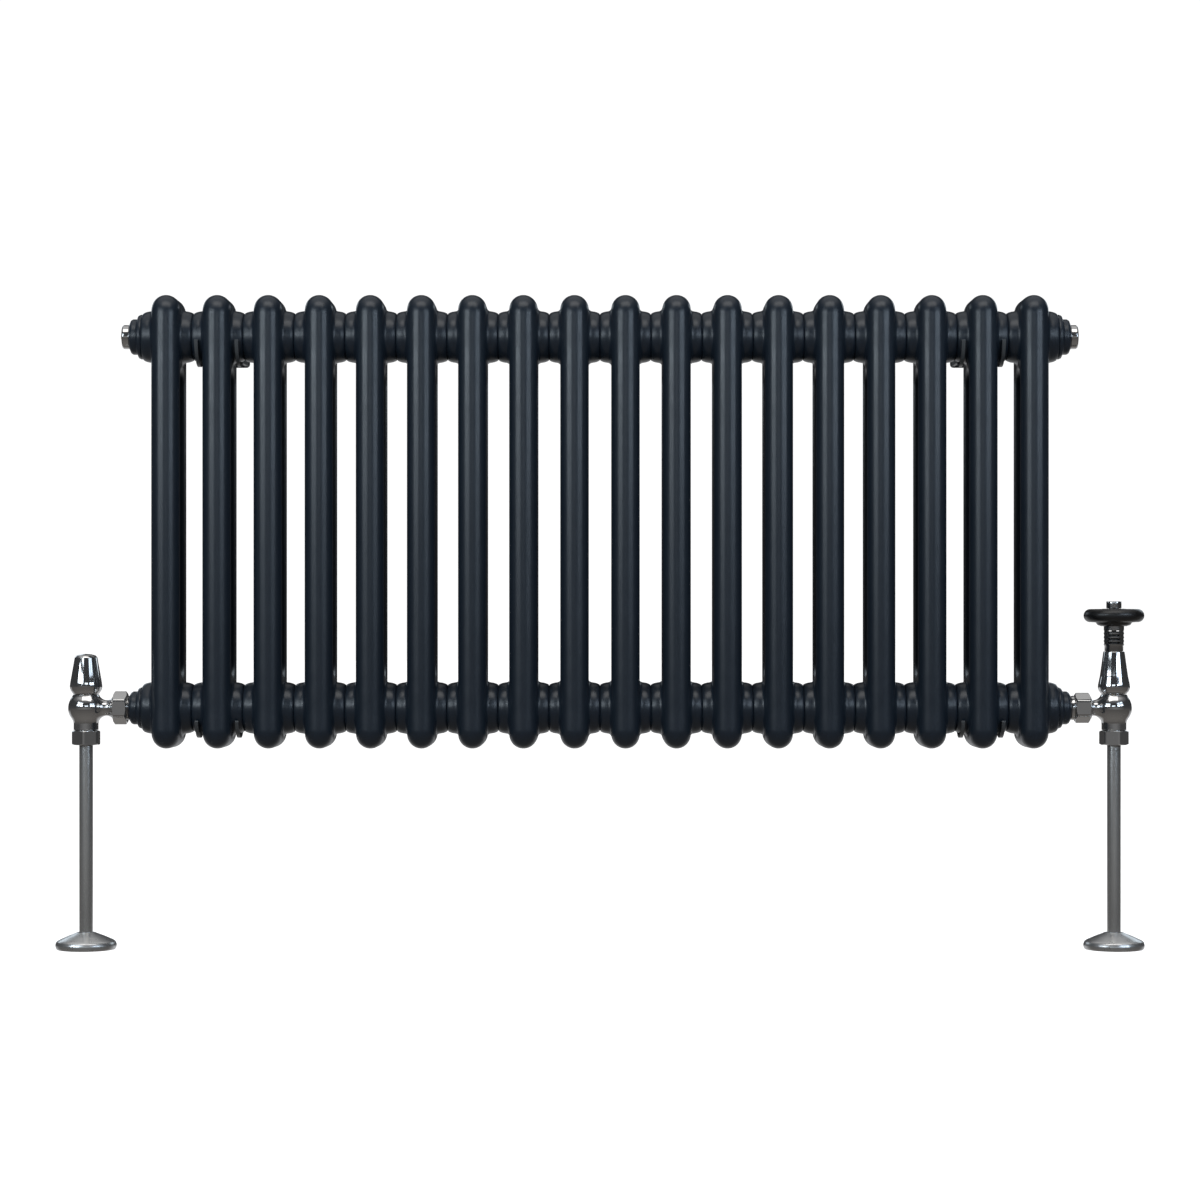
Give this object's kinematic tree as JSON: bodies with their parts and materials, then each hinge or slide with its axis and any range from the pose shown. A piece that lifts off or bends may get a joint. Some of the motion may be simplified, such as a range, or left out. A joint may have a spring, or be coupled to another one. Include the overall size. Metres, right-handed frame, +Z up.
{
  "type": "column radiator with valves",
  "caption": "Tubular column radiator on wall brackets, with a lockshield valve and a wheel-head thermostatic valve on floor pipes.",
  "frame": {"origin": "on the floor, under the middle of the whole object's box", "axes": "+X to the right along the row of sections, -Y is the front, +Y is towards the wall, +Z is up"},
  "size_m": [0.966, 0.093, 0.5785],
  "materials": {
    "anthracite_paint": "satin",
    "bracket_paint": "satin",
    "chrome": "polished",
    "chrome_pipe": "polished",
    "brass": "satin",
    "steel": "satin",
    "sensor_plastic": "matte",
    "black_wood": "satin"
  },
  "bodies": {
    "radiator": {"section_01": "anthracite_paint", "section_02": "anthracite_paint", "section_03": "anthracite_paint", "section_04": "anthracite_paint", "section_05": "anthracite_paint", "section_06": "anthracite_paint", "section_07": "anthracite_paint", "section_08": "anthracite_paint", "section_09": "anthracite_paint", "section_10": "anthracite_paint", "section_11": "anthracite_paint", "section_12": "anthracite_paint", "section_13": "anthracite_paint", "section_14": "anthracite_paint", "section_15": "anthracite_paint", "section_16": "anthracite_paint", "section_17": "anthracite_paint", "section_18": "anthracite_paint", "bush_top_left": "anthracite_paint", "bush_top_right": "anthracite_paint", "bush_bottom_left": "anthracite_paint", "bush_bottom_right": "anthracite_paint", "upper_bracket_left": "bracket_paint", "upper_bracket_right": "bracket_paint", "lower_bracket_left": "bracket_paint", "lower_bracket_right": "bracket_paint", "vent_plug": "chrome", "blanking_plug": "chrome", "lockshield_valve_body": "chrome", "lockshield_union_tail": "chrome", "lockshield_union_nut": "chrome", "lockshield_pipe_nut": "chrome", "thermostat_valve_body": "chrome", "thermostat_union_tail": "chrome", "thermostat_union_nut": "chrome", "thermostat_pipe_nut": "chrome", "thermostat_bell_cover": "chrome", "pipe_left": "chrome_pipe", "pipe_right": "chrome_pipe", "floor_plate_left": "chrome_pipe", "floor_plate_right": "chrome_pipe", "lockshield_olive": "brass", "thermostat_olive": "brass", "lockshield_bonnet": "brass", "thermostat_insert": "brass"},
    "vent_screw": {"vent_screw": "brass"},
    "lockshield_cap": {"lockshield_cap": "chrome"},
    "lockshield_spindle": {"lockshield_spindle": "brass"},
    "lockshield_plug": {"lockshield_plug": "brass"},
    "thermostat_handle": {"thermostat_neck": "chrome", "thermostat_wheel": "black_wood", "thermostat_top_nut": "chrome"},
    "thermostat_plunger": {"thermostat_sensor": "sensor_plastic", "thermostat_pin": "steel"}
  },
  "joints": [
    {"name": "vent_screw_turn", "type": "hinge", "parent": "radiator", "child": "vent_screw", "pos_m": [-0.42, -0.0135, 0.543], "axis": [-1, 0, 0], "range_deg": [0, 360]},
    {"name": "lockshield_cap_lift", "type": "slide", "parent": "radiator", "child": "lockshield_cap", "axis": [0, 0, 1], "range_m": [0, 0.04]},
    {"name": "lockshield_spindle_turn", "type": "hinge", "parent": "radiator", "child": "lockshield_spindle", "pos_m": [-0.456, -0.0135, 0.214], "axis": [0, 0, 1], "range_deg": [-360, 360]},
    {"name": "lockshield_plug_rise", "type": "slide", "parent": "radiator", "child": "lockshield_plug", "axis": [0, 0, 1], "range_m": [-0.001, 0.001]},
    {"name": "thermostat_wheel_turn", "type": "hinge", "parent": "radiator", "child": "thermostat_handle", "pos_m": [0.456, -0.0135, 0.214], "axis": [0, 0, 1], "range_deg": [-165, 165]},
    {"name": "thermostat_plunger_slide", "type": "slide", "parent": "radiator", "child": "thermostat_plunger", "axis": [0, 0, 1], "range_m": [-0.0015, 0.0015]}
  ],
  "couplings": [
    {"joint": "lockshield_spindle_turn", "follows": "lockshield_plug_rise", "rad_per_m": 6283.2},
    {"joint": "thermostat_plunger_slide", "follows": "thermostat_wheel_turn", "m_per_rad": 0.00052}
  ]
}
